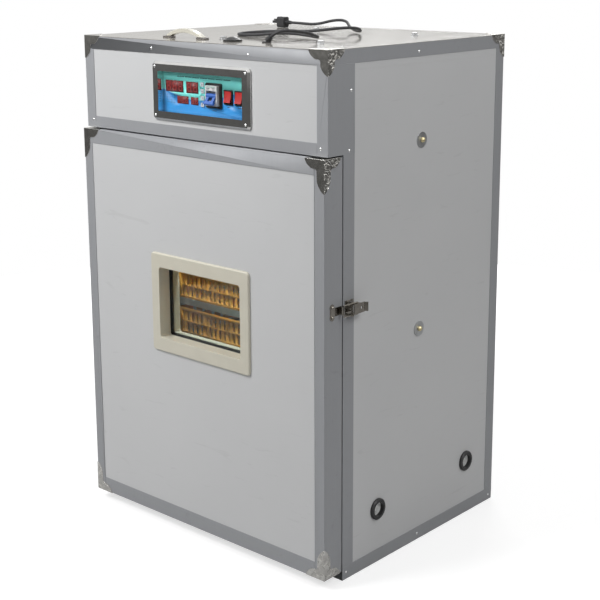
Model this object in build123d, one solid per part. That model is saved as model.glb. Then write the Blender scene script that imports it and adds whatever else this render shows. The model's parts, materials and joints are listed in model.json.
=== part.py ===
from build123d import *
import os
from math import cos, pi, radians, sin, tan

os.makedirs("parts", exist_ok=True)

# Frame: origin on the floor under the middle of the cabinet, front towards -Y, up +Z, millimetres.

# ---- cabinet -------------------------------------------------------------------------------
WIDTH = 760
DEPTH = 590
HEIGHT = 1170
WALL = 45                      # foam sandwich panels
SHEET = 1.2                    # edge trims and corner guards
HALF_W = WIDTH / 2
FRONT = -DEPTH / 2
BACK = DEPTH / 2
INNER_X = HALF_W - WALL
SKIN_X = HALF_W - SHEET        # panel skin, under the trims
SKIN_BACK = BACK - SHEET
SKIN_FRONT = FRONT + SHEET
TOP_LOW = HEIGHT - WALL
CEILING_LOW = 975
CEILING_THICK = 30

# ---- control section -----------------------------------------------------------------------
FASCIA_THICK = 49.4
FASCIA_FRONT = FRONT - FASCIA_THICK
FASCIA_LOW = 953
CONSOLE_X = 13                 # middle of the console
CONSOLE_Z = 1056
BEZEL_W, BEZEL_H = 306, 132
BEZEL_IN_W, BEZEL_IN_H = 264, 90
BEZEL_PROUD = 7
CONSOLE_CUT_W, CONSOLE_CUT_H = 284, 102
PLATE_FRONT = FASCIA_FRONT + 11  # control plate, recessed behind the bezel
PLATE_THICK = 3

# ---- door ----------------------------------------------------------------------------------
DOOR_LOW, DOOR_TOP = 24, 949
DOOR_THICK = 58
DOOR_GAP = 3.5
DOOR_BACK = FRONT - DOOR_GAP
DOOR_FRONT = DOOR_BACK - DOOR_THICK
WINDOW_X, WINDOW_Z = 8, 562
WINDOW_W, WINDOW_H = 262, 170
FRAME_W, FRAME_H = 316, 237
GLASS_RECESS = 28
HINGE_X, HINGE_Y = -HALF_W - 7, FRONT - DOOR_GAP / 2
HINGE_Z = (190, 780)

# ---- turning rack --------------------------------------------------------------------------
LEVELS = 6
PITCH = 91                     # height from one tray to the next
RACK_Y = -25                   # pivot line of every level
TRAY_W, TRAY_D, TRAY_H = 410, 400, 66
FIRST_RAIL = 261               # top of the lowest level's rails
PIVOT_RISE = 25                # pivots above the top of the rails
RAIL_H = 16
SIDE_X = 208                   # outside of a carrier's side rails
LINK_REACH = 190               # link bar pins ahead of the pivots
POST_X = 232                   # middle of the rack posts

# ---- latch on the right side ---------------------------------------------------------------
LATCH_Z = 624
LEVER_PIVOT = (392, -280)      # x, y
LEVER_LENGTH = 32
BAIL_PIVOT = (397, -267)
BAIL_BAR = (393, -308)

# ---- mains cord ----------------------------------------------------------------------------
CORD_R = 3.5
GLAND = (134, -261)
CORD_ROUTE = [                 # from the gland to the plug
    (144.6, -259.6, 1181.5), (160, -257, 1195), (186, -240, 1197), (197, -200, 1191),
    (188, -155, 1180), (158, -118, 1174.5), (112, -102, 1177), (62, -124, 1182), (4, -146, 1176),
    (-48, -150, 1173.7), (-88, -126, 1173.7), (-86, -82, 1175), (-46, -50, 1178), (22, -46, 1179),
    (86, -36, 1183), (134, -8, 1190), (141, 42, 1188), (116, 88, 1177), (68, 124, 1174.5),
    (22, 156, 1181), (-22, 198, 1193), (-66, 204, 1193), (-104, 178, 1181), (-150, 172, 1183),
    (-186, 173, 1183.6)]


# ---- helpers -------------------------------------------------------------------------------
def span(x0, x1, y0, y1, z0, z1):
    """Box between two opposite corners."""
    return Pos((x0 + x1) / 2, (y0 + y1) / 2, (z0 + z1) / 2) * Box(abs(x1 - x0), abs(y1 - y0), abs(z1 - z0))


def rod_x(x0, x1, y, z, r):
    return Pos((x0 + x1) / 2, y, z) * Rot(0, 90, 0) * Cylinder(r, abs(x1 - x0))


def rod_y(y0, y1, x, z, r):
    return Pos(x, (y0 + y1) / 2, z) * Rot(90, 0, 0) * Cylinder(r, abs(y1 - y0))


def rod_z(z0, z1, x, y, r):
    return Pos(x, y, (z0 + z1) / 2) * Cylinder(r, abs(z1 - z0))


def rod_between(start, end, r):
    along = end - start
    return Plane(start, z_dir=along) * (Pos(0, 0, along.length / 2) * Cylinder(r, along.length))


def plane_xz(y):
    """Sketch plane facing the front: sketch x is x, sketch y is z."""
    return Plane((0, y, 0), x_dir=(1, 0, 0), z_dir=(0, -1, 0))


def plane_yz(x):
    """Sketch plane facing +X: sketch x is y, sketch y is z."""
    return Plane((x, 0, 0), x_dir=(0, 1, 0), z_dir=(1, 0, 0))


def ring_xz(y0, y1, x, z, outer, inner, r_out, r_in):
    """Rectangular ring standing in the XZ plane between two y values."""
    face = RectangleRounded(outer[0], outer[1], r_out) - RectangleRounded(inner[0], inner[1], r_in)
    return extrude(plane_xz(y1) * Pos(x, z) * face, y1 - y0)


def solids(*shapes):
    """Flat list of every solid in the shapes."""
    found = []
    for shape in shapes:
        found += list(shape.solids())
    return found


def save(name, *shapes):
    pieces = solids(*shapes)
    export_step(pieces[0] if len(pieces) == 1 else Compound(pieces), f"parts/{name}.step")


# ---- cabinet panels ------------------------------------------------------------------------
VENTS = [(-171, 129), (176, 137)]          # y, z of the air holes in the right side
SIDE_BOLTS = [(RACK_Y, 955), (RACK_Y, 521)]
TOP_BOLTS = [(-16, -243), (252, -218), (-76, 146), (246, 123)]
PLUG_XY = (45, -275)
VENT_R = 19


def side_panel(sign):
    panel = span(sign * INNER_X, sign * SKIN_X, SKIN_FRONT, SKIN_BACK, 0, TOP_LOW)
    for y, z in SIDE_BOLTS:
        panel -= rod_x(sign * (INNER_X - 1), sign * HALF_W, y, z, 5.2)
    if sign > 0:
        for y, z in VENTS:
            panel -= rod_x(INNER_X - 1, HALF_W, y, z, VENT_R)
    return panel


def top_panel():
    """Core panel with a glossy cover sheet that laps over the edge trims."""
    core = span(-SKIN_X, SKIN_X, FASCIA_FRONT + SHEET, SKIN_BACK, TOP_LOW, HEIGHT - SHEET)
    panel = core + span(-HALF_W, HALF_W, FASCIA_FRONT, BACK, HEIGHT - SHEET, HEIGHT)
    for x, y in TOP_BOLTS:
        panel -= rod_z(TOP_LOW - 1, HEIGHT + 1, x, y, 4.2)
    panel -= rod_z(TOP_LOW - 1, HEIGHT + 1, *PLUG_XY, 15.5)
    return panel - rod_z(TOP_LOW - 1, HEIGHT + 1, *GLAND, 6)


def fascia_panel():
    panel = span(-SKIN_X, SKIN_X, FASCIA_FRONT + SHEET, FRONT, FASCIA_LOW + SHEET, TOP_LOW)
    half_w, half_h = CONSOLE_CUT_W / 2, CONSOLE_CUT_H / 2
    return panel - span(CONSOLE_X - half_w, CONSOLE_X + half_w, FASCIA_FRONT, FRONT,
                        CONSOLE_Z - half_h, CONSOLE_Z + half_h)


def cabinet_panels():
    save("left_panel", side_panel(-1))
    save("right_panel", side_panel(1))
    save("back_panel", span(-INNER_X, INNER_X, BACK - WALL, SKIN_BACK, 0, TOP_LOW))
    save("base_panel", span(-INNER_X, INNER_X, SKIN_FRONT, BACK - WALL, 0, WALL))
    ceiling = span(-INNER_X, INNER_X, SKIN_FRONT, BACK - WALL, CEILING_LOW, CEILING_LOW + CEILING_THICK)
    save("chamber_ceiling", ceiling - rod_z(CEILING_LOW - 1, CEILING_LOW + CEILING_THICK + 1, *PROBE_XY, 6))
    save("top_panel", top_panel())
    save("fascia_panel", fascia_panel())


# ---- edge trims ----------------------------------------------------------------------------
TRIM_TOP = 31                  # heights and widths of the visible legs
TRIM_SIDE_FRONT = 36
TRIM_SIDE_BACK = 31
TRIM_FACE = 30                 # legs on the front and back faces
TRIM_FASCIA_LOW = 27


def edge_trims():
    """Aluminium angle sections along the cabinet's edges, each a piece of its own."""
    pieces = []
    for s in (-1, 1):
        out, skin, leg = s * HALF_W, s * SKIN_X, s * (HALF_W - TRIM_FACE)
        # beside the door: side leg and front leg
        pieces.append(span(skin, out, FRONT, FRONT + TRIM_SIDE_FRONT, TRIM_TOP, FASCIA_LOW)
                      + span(leg, out, FRONT, SKIN_FRONT, TRIM_TOP, FASCIA_LOW))
        # control section: the side leg covers the whole overhang
        pieces.append(span(skin, out, FASCIA_FRONT, FRONT + TRIM_SIDE_FRONT, FASCIA_LOW, HEIGHT - TRIM_TOP)
                      + span(leg, out, FASCIA_FRONT, FASCIA_FRONT + SHEET, FASCIA_LOW, HEIGHT - TRIM_TOP))
        # rear edge
        pieces.append(span(skin, out, BACK - TRIM_SIDE_BACK, BACK, TRIM_TOP, HEIGHT - TRIM_TOP)
                      + span(leg, out, SKIN_BACK, BACK, TRIM_TOP, HEIGHT - TRIM_TOP))
        # top and bottom of the side
        pieces.append(span(skin, out, FASCIA_FRONT, BACK, HEIGHT - TRIM_TOP, HEIGHT - SHEET))
        pieces.append(span(skin, out, FRONT, BACK, 0, TRIM_TOP))
    inner = HALF_W - TRIM_FACE
    skin = FASCIA_FRONT + SHEET
    pieces.append(span(-SKIN_X, SKIN_X, FASCIA_FRONT, skin, HEIGHT - TRIM_TOP, HEIGHT - SHEET))
    lower = span(-inner, inner, FASCIA_FRONT, skin, FASCIA_LOW, FASCIA_LOW + TRIM_FASCIA_LOW)
    pieces.append(lower + span(-inner, inner, FASCIA_FRONT, FRONT - 6, FASCIA_LOW, FASCIA_LOW + SHEET))
    pieces.append(span(-SKIN_X, SKIN_X, FRONT, SKIN_FRONT, 0, TRIM_TOP))
    for low in (0, HEIGHT - TRIM_TOP):
        high = low + TRIM_TOP - (SHEET if low else 0)
        pieces.append(span(-SKIN_X, SKIN_X, SKIN_BACK, BACK, low, high))
    return pieces


GUARD_ARM = 20
GUARD_LENGTH = 52
TOP_GUARD_DROP = 53
DOOR_GUARD_DROP = 70


def guard_leaf(length, drop):
    """One leaf of a stamped corner guard: two tapering arms that meet at the corner (0, 0)."""
    arm = GUARD_ARM
    with BuildSketch() as sketch:
        with BuildLine():
            Line((SHEET, SHEET), (-length, SHEET))
            Line((-length, SHEET), (-length, -2))
            ThreePointArc((-length, -2), (-length * 0.86, -arm * 0.62), (-length * 0.68, -arm * 0.95))
            Line((-length * 0.68, -arm * 0.95), (-arm - 5, -arm))
            ThreePointArc((-arm - 5, -arm), (-arm - 1.5, -arm - 1.5), (-arm, -arm - 5))
            Line((-arm, -arm - 5), (-arm * 0.95, -drop * 0.66))
            ThreePointArc((-arm * 0.95, -drop * 0.66), (-arm * 0.62, -drop * 0.85), (-2, -drop))
            Line((-2, -drop), (SHEET, -drop))
            Line((SHEET, -drop), (SHEET, SHEET))
        make_face()
    return sketch.sketch


def corner_guard(x, y, z, drop):
    """Guard over the corner at +-x, +-y, z: leaves on the side, on the end and on the flat face."""
    side = extrude(plane_yz(0) * guard_leaf(GUARD_LENGTH, drop), SHEET)
    end = extrude(plane_xz(0) * guard_leaf(GUARD_LENGTH, drop), -SHEET)
    flat = extrude(Plane.XY * guard_leaf(GUARD_LENGTH, GUARD_LENGTH), SHEET)
    guard = side + end + flat
    if x < 0:
        guard = mirror(guard, Plane.YZ)
    if y < 0:
        guard = mirror(guard, Plane.XZ)
    if z < DOOR_TOP / 2:
        guard = mirror(guard, Plane.XY)
    return Pos(x, y, z) * guard


def rivet(position, axis):
    """Domed rivet head whose flat back lies on the trim."""
    ball, sunk = 4.6, 3.2
    head = Pos(0, 0, -sunk) * Sphere(ball) & Pos(0, 0, ball) * Box(4 * ball, 4 * ball, 2 * ball)
    turn = {"x": Rot(0, 90, 0), "-y": Rot(90, 0, 0), "z": Rot(0, 0, 0)}[axis]
    return Pos(*position) * turn * head


SIDE_RIVETS = [(-39, 1149.5), (-270, 1084), (-276, 960), (-282, 16), (-20, 15), (281, 13)]   # y, z
FRONT_RIVETS = [(-146, 1150), (158, 1150), (-359, 971), (360, 969)]                       # x, z
BEZEL_SCREW_INSET = 11


def fixing_screws():
    """Rivets of the trims on both sides and the front, and the console's four screws."""
    right = [rivet((HALF_W, y, z), "x") for y, z in SIDE_RIVETS]
    pieces = right + [mirror(head, Plane.YZ) for head in right]
    pieces += [rivet((x, FASCIA_FRONT, z), "-y") for x, z in FRONT_RIVETS]
    reach_x, reach_z = BEZEL_W / 2 - BEZEL_SCREW_INSET, BEZEL_H / 2 - BEZEL_SCREW_INSET
    for x in (CONSOLE_X - reach_x, CONSOLE_X + reach_x):
        for z in (CONSOLE_Z - reach_z, CONSOLE_Z + reach_z):
            pieces.append(rivet((x, FASCIA_FRONT - BEZEL_PROUD, z), "-y"))
    return pieces


# ---- console -------------------------------------------------------------------------------
# display windows: middle from the console's middle, then width and height
LED_WINDOWS = [(-95.5, 12, 58, 26), (-38, 12, 39, 26), (-69, -17.5, 37, 17.5), (-31.2, -17.5, 24, 17.5)]
KEY_X, KEY_Z = CONSOLE_X - 5.5, [CONSOLE_Z + rise for rise in (21, 6, -9, -24)]
BREAKER_X, BREAKER_Z = CONSOLE_X + 31, CONSOLE_Z - 1
BREAKER_W, BREAKER_H = 36, 44
ROCKER_X, ROCKER_Z = (CONSOLE_X + 75, CONSOLE_X + 108), CONSOLE_Z - 2


def console_bezel():
    """Polished frame with a bevelled rim and a sleeve that lines the recess."""
    rim = ring_xz(FASCIA_FRONT - BEZEL_PROUD, FASCIA_FRONT, CONSOLE_X, CONSOLE_Z,
                  (BEZEL_W, BEZEL_H), (BEZEL_IN_W, BEZEL_IN_H), 9, 2)
    front = rim.faces().sort_by(Axis.Y)[0]
    rim = chamfer(front.outer_wire().edges(), 5)
    sleeve = ring_xz(FASCIA_FRONT, PLATE_FRONT, CONSOLE_X, CONSOLE_Z,
                     (BEZEL_IN_W + 3, BEZEL_IN_H + 3), (BEZEL_IN_W, BEZEL_IN_H), 2, 1.5)
    return rim + sleeve


def upright_block(x, z, w, h, y0, y1):
    """Block of width w and height h centred on x, z."""
    return span(x - w / 2, x + w / 2, y0, y1, z - h / 2, z + h / 2)


def control_plate():
    """Plate carrying the display modules, with openings for keys and switches."""
    back = PLATE_FRONT + PLATE_THICK
    plate = upright_block(CONSOLE_X, CONSOLE_Z, CONSOLE_CUT_W - 2, CONSOLE_CUT_H - 2, PLATE_FRONT, back)
    modules = []
    for dx, dz, w, h in LED_WINDOWS:
        x, z = CONSOLE_X + dx, CONSOLE_Z + dz
        plate -= upright_block(x, z, w, h, PLATE_FRONT, back)
        modules.append(upright_block(x, z, w, h, PLATE_FRONT - 0.6, PLATE_FRONT + 6))
    for z in KEY_Z:
        plate -= upright_block(KEY_X, z, 10.8, 9.8, PLATE_FRONT, back)
    plate -= upright_block(BREAKER_X, BREAKER_Z, BREAKER_W, BREAKER_H, PLATE_FRONT, back)
    for x in ROCKER_X:
        plate -= upright_block(x, ROCKER_Z, 23, 29.2, PLATE_FRONT, back)
    return plate, modules


def key(z):
    """Push key: cap with a stem that reaches back to its switch on the board."""
    cap = upright_block(KEY_X, z, 10, 9, PLATE_FRONT - 2, PLATE_FRONT + 2.4)
    return cap + rod_y(PLATE_FRONT + 2.4, PLATE_FRONT + 5, KEY_X, z, 1.8)


def rocker_housing(x):
    frame = ring_xz(PLATE_FRONT - 2.5, PLATE_FRONT, x, ROCKER_Z, (26.5, 32), (21, 27.4), 2, 1)
    body = ring_xz(PLATE_FRONT, PLATE_FRONT + 16, x, ROCKER_Z, (22.8, 29), (21, 27.4), 0.8, 0.5)
    pan = upright_block(x, ROCKER_Z, 21, 27.4, PLATE_FRONT + 13, PLATE_FRONT + 16)
    return frame + body + pan


def breaker_body():
    """Two-pole breaker: black surround and a white nose with the lever's slot."""
    surround = ring_xz(PLATE_FRONT - 3, PLATE_FRONT, BREAKER_X, BREAKER_Z,
                       (49, 54.5), (BREAKER_W, BREAKER_H), 3, 0.5)
    nose = upright_block(BREAKER_X, BREAKER_Z, BREAKER_W, BREAKER_H, PLATE_FRONT - 11, PLATE_FRONT + 30)
    slot = upright_block(BREAKER_X, BREAKER_Z, 31, 22, PLATE_FRONT - 12, PLATE_FRONT + 2)
    return surround, nose - slot


def rocker(x):
    """Rocker cap, one end pressed in; it turns about the X axis through its pivot."""
    outline = [(-5.4, 12.4), (-4, 0), (-5.4, -12.4), (2, -8), (2, 8)]
    cap = extrude(plane_yz(-10) * make_face(Polyline(*outline, close=True)), 20)
    cap = Rot(-12, 0, 0) * (cap + rod_x(-10, 10, 0, 0, 2.6))
    return Pos(x, PLATE_FRONT, ROCKER_Z) * cap


BREAKER_PIVOT_Y = PLATE_FRONT - 7
LEVER_DROP = 55                # degrees below level


def breaker_lever():
    """Wide toggle shared by both poles, hanging in its low position."""
    hub = rod_x(-15, 15, 0, 0, 5)
    arms = span(-13, -6, -17, -3, -2.2, 2.2) + span(6, 13, -17, -3, -2.2, 2.2)
    lever = Rot(LEVER_DROP, 0, 0) * (hub + arms + span(-15, 15, -22, -15, -3, 3))
    return Pos(BREAKER_X, BREAKER_PIVOT_Y, BREAKER_Z) * lever


def display_board():
    """Board with its chips behind the display modules, on four stand-offs."""
    front = PLATE_FRONT + 9
    back = front + 1.6
    pieces = [span(CONSOLE_X - 134, CONSOLE_X, front, back, CONSOLE_Z - 42, CONSOLE_Z + 42)]
    for x, z, w, h in ((-96, 18, 40, 12), (-46, 18, 28, 16), (-70, -20, 48, 14), (-20, -16, 14, 24)):
        pieces.append(upright_block(CONSOLE_X + x, CONSOLE_Z + z, w, h, back, back + 3.4))
    for x in (-129, -4.5):
        for z in (-37, 37):
            pieces.append(rod_y(PLATE_FRONT + PLATE_THICK, front, CONSOLE_X + x, CONSOLE_Z + z, 3))
    return pieces


def equipment_plate():
    """Steel plate under the top panel with the power supply and the relay board."""
    plate = span(-110, 290, -255, 180, TOP_LOW - 2, TOP_LOW)
    for x, y in TOP_BOLTS:
        plate -= rod_z(TOP_LOW - 3, HEIGHT, x, y, 4.2)
    plate -= rod_z(TOP_LOW - 3, HEIGHT, *PLUG_XY, 15.5)
    plate -= rod_z(TOP_LOW - 3, HEIGHT, *GLAND, 6)
    board = TOP_LOW - 12
    supply = span(60, 220, -110, -12, TOP_LOW - 44, TOP_LOW - 2)
    pieces = [plate, supply, span(-70, 40, -120, -10, board, board + 1.6)]
    pieces += [rod_z(board + 1.6, TOP_LOW - 2, x, y, 3) for x in (-64, 34) for y in (-114, -16)]
    pieces += [span(x - 9, x + 9, -98, -82, board - 16, board) for x in (-50, -25, 0, 25)]
    return pieces


# ---- top fittings --------------------------------------------------------------------------
HANDLE_X0, HANDLE_X1 = -176, -40
HANDLE_Y0, HANDLE_Y1 = -281, -264


def carry_handle():
    """Arched strap grip held down by a metal foot at each end."""
    foot, foot_high, reach = 26, 4, 60
    mid = (HANDLE_X0 + HANDLE_X1) / 2
    low = HEIGHT + foot_high
    feet = [span(x, x + foot, HANDLE_Y0, HANDLE_Y1, HEIGHT, low) for x in (HANDLE_X0, HANDLE_X1 - foot)]
    with BuildSketch(plane_xz(HANDLE_Y1 - 1)) as arch:
        with BuildLine():
            ThreePointArc((mid - reach, low), (mid, low + 18.5), (mid + reach, low))
            Line((mid + reach, low), (mid + reach - 15, low))
            ThreePointArc((mid + reach - 15, low), (mid, low + 9), (mid - reach + 15, low))
            Line((mid - reach + 15, low), (mid - reach, low))
        make_face()
    grip = extrude(arch.sketch, HANDLE_Y1 - HANDLE_Y0 - 2)
    return [grip, *feet]


def top_bolts():
    """Hex bolts with washers that hold the equipment plate under the top panel."""
    pieces = []
    for x, y in TOP_BOLTS:
        pieces.append(Pos(x, y, HEIGHT) * (Pos(0, 0, 0.8) * Cylinder(9, 1.6) - Cylinder(4.2, 10)))
        head = extrude(Pos(x, y, HEIGHT + 1.6) * RegularPolygon(7.5, 6), 5.5)
        pieces.append(head + rod_z(TOP_LOW - 14, HEIGHT + 1.6, x, y, 4))
        nut = extrude(Pos(x, y, TOP_LOW - 8.5) * (RegularPolygon(7.5, 6) - Circle(4)), 6.5)
        pieces.append(nut)
    return pieces


def vent_plug():
    """Domed stopper in the top air hole; it lifts straight out."""
    dome = Pos(0, 0, -18) * Sphere(28) & (Pos(0, 0, 10) * Box(60, 60, 12))
    cap = dome + Pos(0, 0, 2) * Cylinder(21.3, 4)
    stem = Pos(0, 0, -11) * Cylinder(15, 22)
    return Pos(PLUG_XY[0], PLUG_XY[1], HEIGHT + 0.2) * (cap + stem)


def unit(vector):
    return vector * (1 / vector.length)


def cord_gland():
    """Strain relief: flange in the top panel and a sleeve that leans towards the cord."""
    start = Vector(*CORD_ROUTE[0])
    lean = unit(Vector(*CORD_ROUTE[1]) - start)
    sleeve = Plane(start - lean * 11, z_dir=lean) * (Pos(0, 0, 5.5) * Cylinder(6.5, 11))
    flange = rod_z(HEIGHT, HEIGHT + 3, *GLAND, 10)
    tail = rod_z(TOP_LOW - 4, HEIGHT, *GLAND, 5.6)
    return sleeve + flange + tail


def cord_tube():
    points = [Vector(*p) for p in CORD_ROUTE]
    radii = []
    for before, here, after in zip(points, points[1:], points[2:]):
        first, second = here - before, after - here
        half_turn = radians(first.get_angle(second)) / 2
        radii.append(0.45 * min(first.length, second.length) / tan(half_turn))
    path = FilletPolyline(*CORD_ROUTE, radius=radii)
    tube = sweep(Plane(points[0], z_dir=points[1] - points[0]) * Circle(CORD_R), path=path)
    print("cord radii", [round(r) for r in radii])
    print("cord length", round(path.length), "volume ratio",
          round(tube.volume / (pi * CORD_R ** 2 * path.length), 4))
    return tube


def cord_plug():
    """Two-pin plug with a ribbed strain relief, lying where the cord ends."""
    end = Vector(*CORD_ROUTE[-1])
    along = unit(end - Vector(*CORD_ROUTE[-2]))
    place = Plane(end, x_dir=(0, 0, 1), z_dir=along)
    relief = Pos(0, 0, 9) * Cone(4.4, 6.2, 18)
    for i in range(3):
        relief -= Pos(0, 0, 4 + 4.5 * i) * (Cylinder(8, 1.4) - Cylinder(4, 1.4))
    body = Pos(0, 0, 18 + 12) * Box(27, 20, 24)
    body = fillet(body.edges().filter_by(Axis.Z), 5)
    pins = [Pos(0, y, 42 + 9) * Box(6.3, 1.6, 18) for y in (-6.4, 6.4)]
    earth = Pos(5, 0, 42 + 9) * Cylinder(2.2, 18)
    plug = relief + body
    for pin in pins + [earth]:
        plug += pin
    return place * plug


# ---- right side fittings -------------------------------------------------------------------
def side_bolts():
    """Through-bolts that carry the rack posts: bolt, outer washer, dome nut and spacer tube."""
    pieces = []
    for s in (-1, 1):
        out, inner = s * HALF_W, s * (POST_X - 15)
        for y, z in SIDE_BOLTS:
            bore = rod_x(s * (POST_X - 40), s * (HALF_W + 20), y, z, 5.2)
            dome = Pos(out + s * 2, y, z) * (Sphere(6.2) & Pos(s * 5, 0, 0) * Box(10, 14, 14))
            pieces.append(rod_x(inner - s, out + s * 2, y, z, 5))
            pieces.append(rod_x(s * SKIN_X, out + s * SHEET, y, z, 17.5) - bore)
            pieces.append(dome)
            pieces.append(rod_x(s * (POST_X + 10), s * INNER_X, y, z, 9) - bore)
            pieces.append(rod_x(inner, inner + s * 5, y, z, 8.5) - rod_x(inner - s, inner + s * 6, y, z, 5))
    return pieces


def side_vents():
    """Air-hole liners through the right side, each with a raised ring and a mesh disc."""
    pieces = []
    bore_r = VENT_R - 2.5
    for y, z in VENTS:
        bore = rod_x(INNER_X - 1, HALF_W + 20, y, z, bore_r)
        tube = rod_x(INNER_X, SKIN_X, y, z, VENT_R - 0.3) - bore
        ring = rod_x(SKIN_X, HALF_W + 4.5, y, z, 25)
        ring = chamfer(ring.faces().sort_by(Axis.X)[-1].edges(), 2) - bore
        mesh = rod_x(HALF_W - 6, HALF_W - 4.5, y, z, bore_r)
        for i in range(-3, 4):
            for j in range(-3, 4):
                if i * i + j * j < 12:
                    mesh -= Pos(HALF_W - 5, y + 4 * i, z + 4 * j) * Box(8, 2.6, 2.6)
        pieces += [tube + ring, mesh]
    return pieces


def latch_base():
    """Base plate with two ears that carry the lever's pivot pin."""
    x, y = LEVER_PIVOT
    base = span(HALF_W, HALF_W + 1.6, -290, -262, LATCH_Z - 17, LATCH_Z + 17)
    for s in (-1, 1):
        low, high = LATCH_Z + s * 14, LATCH_Z + s * 16
        base += span(HALF_W + 1.6, x, y - 5, y + 5, low, high) + rod_z(low, high, x, y, 5)
    return base + rod_z(LATCH_Z - 16, LATCH_Z + 16, x, y, 1.8)


def latch_lever():
    """Pressed lever with side cheeks round the pivot and a turned-up tip with a hole."""
    x, y = LEVER_PIVOT
    top = x + 7
    lever = span(top, top + 1.6, y - 2, y + LEVER_LENGTH, LATCH_Z - 11, LATCH_Z + 11)
    lever -= rod_x(top - 1, top + 3, y + LEVER_LENGTH - 10, LATCH_Z, 3)
    for s in (-1, 1):
        lever += span(x - 3.6, top + 1.6, y - 4, y + 20, LATCH_Z + s * 9.8, LATCH_Z + s * 11.4)
    lever += Pos(top + 3.5, y + LEVER_LENGTH + 3, LATCH_Z) * Rot(0, 0, -50) * Box(1.6, 9, 20)
    lever -= rod_z(LATCH_Z - 30, LATCH_Z + 30, *BAIL_PIVOT, 1.5)
    return lever - rod_z(LATCH_Z - 30, LATCH_Z + 30, x, y, 2.1)


def latch_bail():
    """Wire loop from the lever towards the keeper on the door."""
    wire, arm_z = 1.2, 12.7
    bar = Vector(*BAIL_BAR, 0)
    pivot = Vector(*BAIL_PIVOT, 0)
    bail = rod_z(LATCH_Z - arm_z, LATCH_Z + arm_z, bar.X, bar.Y, wire)
    for s in (-1, 1):
        up = Vector(0, 0, LATCH_Z + s * arm_z)
        bail += rod_between(pivot + up, bar + up, wire)
        bail += Pos(*(bar + up)) * Sphere(wire) + Pos(*(pivot + up)) * Sphere(wire)
        bail += rod_z(LATCH_Z + s * 8.5, LATCH_Z + s * arm_z, pivot.X, pivot.Y, wire)
    return bail


# ---- door ----------------------------------------------------------------------------------
def door_panel():
    panel = span(-SKIN_X, SKIN_X, DOOR_FRONT + SHEET, DOOR_BACK - SHEET, DOOR_LOW + SHEET, DOOR_TOP - SHEET)
    return panel - upright_block(WINDOW_X, WINDOW_Z, WINDOW_W + 12, WINDOW_H + 12, DOOR_FRONT, DOOR_BACK)


def door_edge_trims():
    """Channel sections round the door: uprights over the full height, rails between them."""
    pieces = []
    skin_front, skin_back = DOOR_FRONT + SHEET, DOOR_BACK - SHEET
    inner_front, inner_back = HALF_W - 27, HALF_W - 20
    for s in (-1, 1):
        out = s * HALF_W
        channel = span(s * SKIN_X, out, DOOR_FRONT, DOOR_BACK, DOOR_LOW, DOOR_TOP)
        channel += span(s * inner_front, out, DOOR_FRONT, skin_front, DOOR_LOW, DOOR_TOP)
        channel += span(s * inner_back, out, skin_back, DOOR_BACK, DOOR_LOW, DOOR_TOP)
        pieces.append(channel)
    bottom = (DOOR_LOW, DOOR_LOW + 36, DOOR_LOW)
    top = (DOOR_TOP - 33, DOOR_TOP, DOOR_TOP - SHEET)
    for low, high, edge in (bottom, top):
        rail = span(-inner_front, inner_front, DOOR_FRONT, skin_front, low, high)
        rail += span(-inner_back, inner_back, skin_back, DOOR_BACK, low, high)
        rail += span(-inner_front, inner_front, DOOR_FRONT, DOOR_BACK, edge, edge + SHEET)
        pieces.append(rail)
    return pieces


def window_ring(y0, y1, extra_w, extra_h, r_out):
    """Ring round the window opening, wider and higher than it by the extra sizes."""
    outer = (WINDOW_W + extra_w, WINDOW_H + extra_h)
    return ring_xz(y0, y1, WINDOW_X, WINDOW_Z, outer, (WINDOW_W, WINDOW_H), r_out, 7)


def window_frame():
    """Moulded outer frame with a sleeve into the door, and the flat inner frame behind it."""
    skin_front, skin_back = DOOR_FRONT + SHEET, DOOR_BACK - SHEET
    lap_w, lap_h, sleeve = FRAME_W - WINDOW_W, FRAME_H - WINDOW_H, 9
    outer = window_ring(DOOR_FRONT - 5, skin_front, lap_w, lap_h, 9)
    outer = fillet(outer.faces().sort_by(Axis.Y)[0].outer_wire().edges(), 4)
    outer += window_ring(skin_front, DOOR_FRONT + GLASS_RECESS, sleeve, sleeve, 8)
    inner = window_ring(skin_back, DOOR_BACK + 2, lap_w - 16, lap_h - 16, 9)
    inner += window_ring(DOOR_BACK - 18, skin_back, sleeve, sleeve, 8)
    return [outer, inner]


def window_glass():
    """Two panes with a spacer between them."""
    front = DOOR_FRONT + GLASS_RECESS
    size = (WINDOW_W + 8, WINDOW_H + 8)
    return [upright_block(WINDOW_X, WINDOW_Z, *size, y, y + 4) for y in (front, front + 8)]


def door_seals():
    """Black rubber: the seal round the door's back and the gasket between the panes."""
    seal = ring_xz(DOOR_BACK, FRONT - 0.3, 0, 486, (712, 890), (684, 862), 6, 4)
    front = DOOR_FRONT + GLASS_RECESS
    spacer = ring_xz(front + 4, front + 8, WINDOW_X, WINDOW_Z,
                     (WINDOW_W + 8, WINDOW_H + 8), (WINDOW_W - 8, WINDOW_H - 8), 2, 5)
    return [seal, spacer]


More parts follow.
